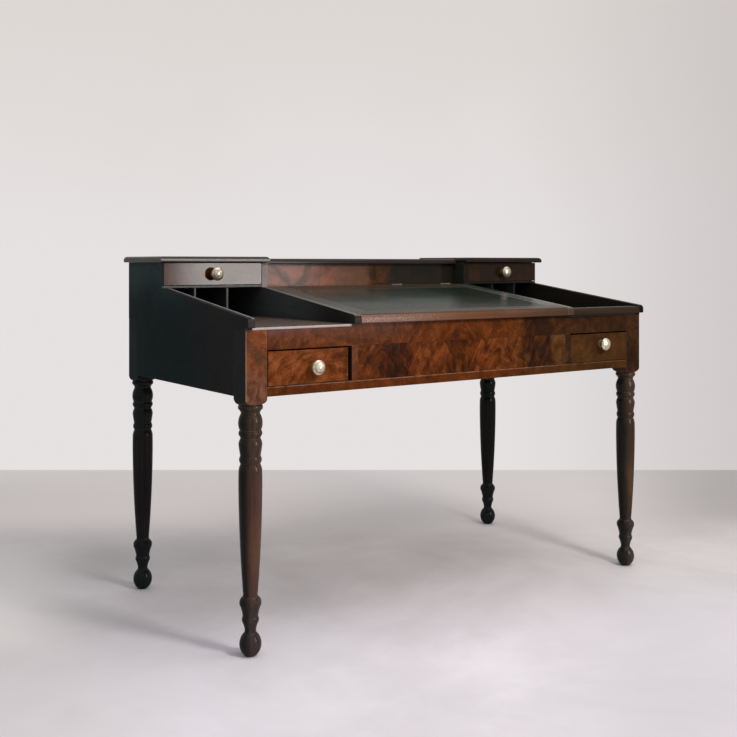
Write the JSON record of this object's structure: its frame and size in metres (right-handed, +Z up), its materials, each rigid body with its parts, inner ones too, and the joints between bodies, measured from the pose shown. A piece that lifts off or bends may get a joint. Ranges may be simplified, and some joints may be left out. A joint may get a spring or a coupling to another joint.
{
  "type": "writing desk",
  "caption": "Mahogany writing desk on turned legs with a hinged sloping leather-lined lid, open side wells, a low gallery with small drawers, and front drawers.",
  "frame": {"origin": "on the floor, at the middle of the bounding box", "axes": "+X along the front to the writer's right, -Y towards the writer, +Z up"},
  "size_m": [1.37, 0.7082, 0.927],
  "materials": {
    "figured_mahogany": "flame-figured veneer, old polish",
    "dark_mahogany": "dark polished mahogany",
    "secondary_wood": "unpolished softwood",
    "leather": "dark green-grey, polished by use",
    "brass": "pale worn brass"
  },
  "bodies": {
    "case": {"back_board_lower": "secondary_wood", "back_board_upper": "secondary_wood", "bottom_rail": "figured_mahogany", "cap_centre": "dark_mahogany", "cap_left": "dark_mahogany", "cap_right": "dark_mahogany", "compartment_cleats": "secondary_wood", "compartment_floor": "secondary_wood", "dividers_left": "secondary_wood", "dividers_right": "secondary_wood", "drawer_runners_left": "secondary_wood", "drawer_runners_right": "secondary_wood", "front_panel": "figured_mahogany", "gallery_floor_left": "dark_mahogany", "gallery_floor_right": "dark_mahogany", "gallery_panel": "figured_mahogany", "hinge_leaves_fixed": "brass", "hinge_pins": "brass", "hinge_rail": "dark_mahogany", "leg_back_left": "dark_mahogany", "leg_back_right": "dark_mahogany", "leg_front_left": "dark_mahogany", "leg_front_right": "dark_mahogany", "partition_left": "dark_mahogany", "partition_right": "dark_mahogany", "side_panel_left": "dark_mahogany", "side_panel_right": "dark_mahogany", "top_rail": "figured_mahogany", "well_floor_left": "dark_mahogany", "well_floor_right": "dark_mahogany", "well_lip_right": "figured_mahogany"},
    "lid": {"lid_board": "dark_mahogany", "lid_clamp_left": "dark_mahogany", "lid_clamp_right": "dark_mahogany", "lid_nosing": "figured_mahogany", "lid_leather": "leather", "hinge_leaves_lid": "brass"},
    "front_drawer_left": {"front_drawer_left_back": "secondary_wood", "front_drawer_left_bottom": "secondary_wood", "front_drawer_left_front": "figured_mahogany", "front_drawer_left_knob": "brass", "front_drawer_left_sides": "secondary_wood"},
    "front_drawer_right": {"front_drawer_right_back": "secondary_wood", "front_drawer_right_bottom": "secondary_wood", "front_drawer_right_front": "figured_mahogany", "front_drawer_right_knob": "brass", "front_drawer_right_sides": "secondary_wood"},
    "gallery_drawer_left": {"gallery_drawer_left_back": "secondary_wood", "gallery_drawer_left_bottom": "secondary_wood", "gallery_drawer_left_front": "figured_mahogany", "gallery_drawer_left_knob": "brass", "gallery_drawer_left_sides": "secondary_wood"},
    "gallery_drawer_right": {"gallery_drawer_right_back": "secondary_wood", "gallery_drawer_right_bottom": "secondary_wood", "gallery_drawer_right_front": "figured_mahogany", "gallery_drawer_right_knob": "brass", "gallery_drawer_right_sides": "secondary_wood"}
  },
  "joints": [
    {"name": "lid_hinge", "type": "hinge", "parent": "case", "child": "lid", "pos_m": [0, 0.118, 0.84387], "axis": [-1, 0, 0], "range_deg": [0, 125]},
    {"name": "front_drawer_left_slide", "type": "slide", "parent": "case", "child": "front_drawer_left", "axis": [0, -1, 0], "range_m": [0, 0.36]},
    {"name": "front_drawer_right_slide", "type": "slide", "parent": "case", "child": "front_drawer_right", "axis": [0, -1, 0], "range_m": [0, 0.36]},
    {"name": "gallery_drawer_left_slide", "type": "slide", "parent": "case", "child": "gallery_drawer_left", "axis": [0, -1, 0], "range_m": [0, 0.15]},
    {"name": "gallery_drawer_right_slide", "type": "slide", "parent": "case", "child": "gallery_drawer_right", "axis": [0, -1, 0], "range_m": [0, 0.15]}
  ]
}
